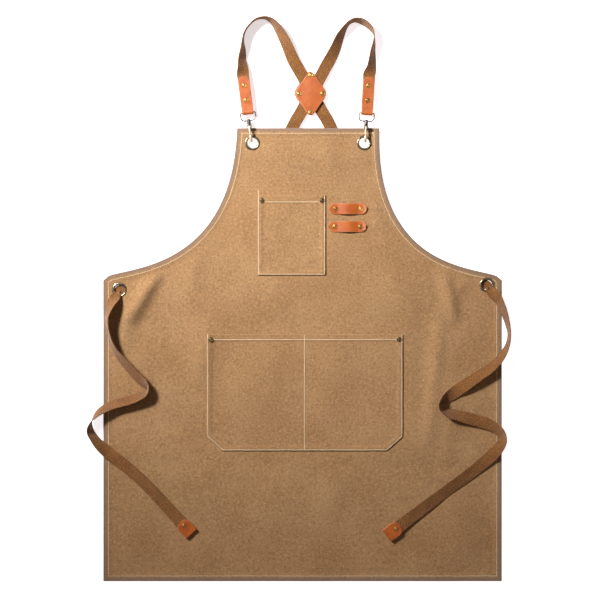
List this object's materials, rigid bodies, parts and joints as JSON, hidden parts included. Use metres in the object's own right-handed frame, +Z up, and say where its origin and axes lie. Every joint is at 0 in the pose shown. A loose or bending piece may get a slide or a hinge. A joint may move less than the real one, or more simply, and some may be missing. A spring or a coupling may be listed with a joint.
{
  "type": "work apron",
  "caption": "Work apron laid flat: canvas bib and skirt with pockets and pen loops, cross-back webbing straps on snap hooks, waist ties with leather tips.",
  "frame": {"origin": "middle of the footprint, on the table the apron lies on", "axes": "+Y from the bottom hem towards the bib and the strap loops, +Z up from the table out of the front face, +X to the right seen from above"},
  "size_m": [0.7378, 0.99, 0.0255],
  "materials": {
    "canvas": "heathered tan cotton canvas",
    "webbing": "brown woven cotton webbing",
    "leather": "orange-tan leather, smooth",
    "rivet_brass": "polished brass",
    "eyelet_brass": "antique brass, darkened",
    "clip_metal": "nickel plated"
  },
  "bodies": {
    "apron": {"canvas_panel": "canvas", "bib_pocket": "canvas", "waist_pocket": "canvas", "shoulder_strap_left": "webbing", "shoulder_strap_right": "webbing", "pen_loop_upper": "leather", "pen_loop_lower": "leather", "strap_tab_left": "leather", "strap_tab_right": "leather", "cross_patch_back": "leather", "cross_patch_front": "leather", "pocket_rivet_1": "rivet_brass", "pocket_rivet_2": "rivet_brass", "pocket_rivet_3": "rivet_brass", "pocket_rivet_4": "rivet_brass", "pen_loop_rivet_1": "rivet_brass", "pen_loop_rivet_2": "rivet_brass", "pen_loop_rivet_3": "rivet_brass", "pen_loop_rivet_4": "rivet_brass", "patch_rivet_1": "rivet_brass", "patch_rivet_2": "rivet_brass", "patch_rivet_3": "rivet_brass", "patch_rivet_4": "rivet_brass", "tab_rivet_left_1": "rivet_brass", "tab_rivet_left_2": "rivet_brass", "tab_rivet_right_1": "rivet_brass", "tab_rivet_right_2": "rivet_brass", "bib_eyelet_left": "eyelet_brass", "bib_eyelet_left_washer": "eyelet_brass", "side_eyelet_left": "eyelet_brass", "side_eyelet_left_washer": "eyelet_brass", "bib_eyelet_right": "eyelet_brass", "bib_eyelet_right_washer": "eyelet_brass", "side_eyelet_right": "eyelet_brass", "side_eyelet_right_washer": "eyelet_brass"},
    "tie_left": {"waist_tie_left": "webbing", "tie_tip_left": "leather", "tie_tip_rivet_left": "rivet_brass"},
    "bail_left": {"bail_left": "clip_metal"},
    "hook_left": {"snap_hook_left": "clip_metal", "gate_pin_left": "clip_metal", "gate_spring_left": "clip_metal"},
    "gate_left": {"gate_left": "clip_metal"},
    "tie_right": {"waist_tie_right": "webbing", "tie_tip_right": "leather", "tie_tip_rivet_right": "rivet_brass"},
    "bail_right": {"bail_right": "clip_metal"},
    "hook_right": {"snap_hook_right": "clip_metal", "gate_pin_right": "clip_metal", "gate_spring_right": "clip_metal"},
    "gate_right": {"gate_right": "clip_metal"}
  },
  "joints": [
    {"name": "tie_left_swing", "type": "hinge", "parent": "apron", "child": "tie_left", "pos_m": [-0.31313, 0.0143, 0.00403], "axis": [0, 0, 1], "range_deg": [-12, 12]},
    {"name": "tie_right_swing", "type": "hinge", "parent": "apron", "child": "tie_right", "pos_m": [0.32937, 0.02279, 0.00403], "axis": [0, 0, 1], "range_deg": [-12, 12]},
    {"name": "bail_left_fold", "type": "hinge", "parent": "apron", "child": "bail_left", "pos_m": [-0.08874, 0.32357, 0.00963], "axis": [-0.9919, -0.1271, 0], "range_deg": [0, 1.2]},
    {"name": "hook_left_swivel", "type": "hinge", "parent": "bail_left", "child": "hook_left", "pos_m": [-0.08658, 0.30671, 0.00963], "axis": [-0.1271, 0.9919, 0], "range_deg": [-22, 22]},
    {"name": "gate_left_press", "type": "hinge", "parent": "hook_left", "child": "gate_left", "pos_m": [-0.08546, 0.29798, 0.01713], "axis": [0.9919, 0.1271, 0], "range_deg": [0, 18], "stiffness_Nm_per_rad": 0.02, "springref_deg": -34.38},
    {"name": "bail_right_fold", "type": "hinge", "parent": "apron", "child": "bail_right", "pos_m": [0.11904, 0.3225, 0.00963], "axis": [-0.9981, 0.061, 0], "range_deg": [0, 1.2]},
    {"name": "hook_right_swivel", "type": "hinge", "parent": "bail_right", "child": "hook_right", "pos_m": [0.118, 0.30553, 0.00963], "axis": [0.061, 0.9981, 0], "range_deg": [-22, 22]},
    {"name": "gate_right_press", "type": "hinge", "parent": "hook_right", "child": "gate_right", "pos_m": [0.11747, 0.29675, 0.01713], "axis": [0.9981, -0.061, 0], "range_deg": [0, 18], "stiffness_Nm_per_rad": 0.02, "springref_deg": -34.38}
  ]
}
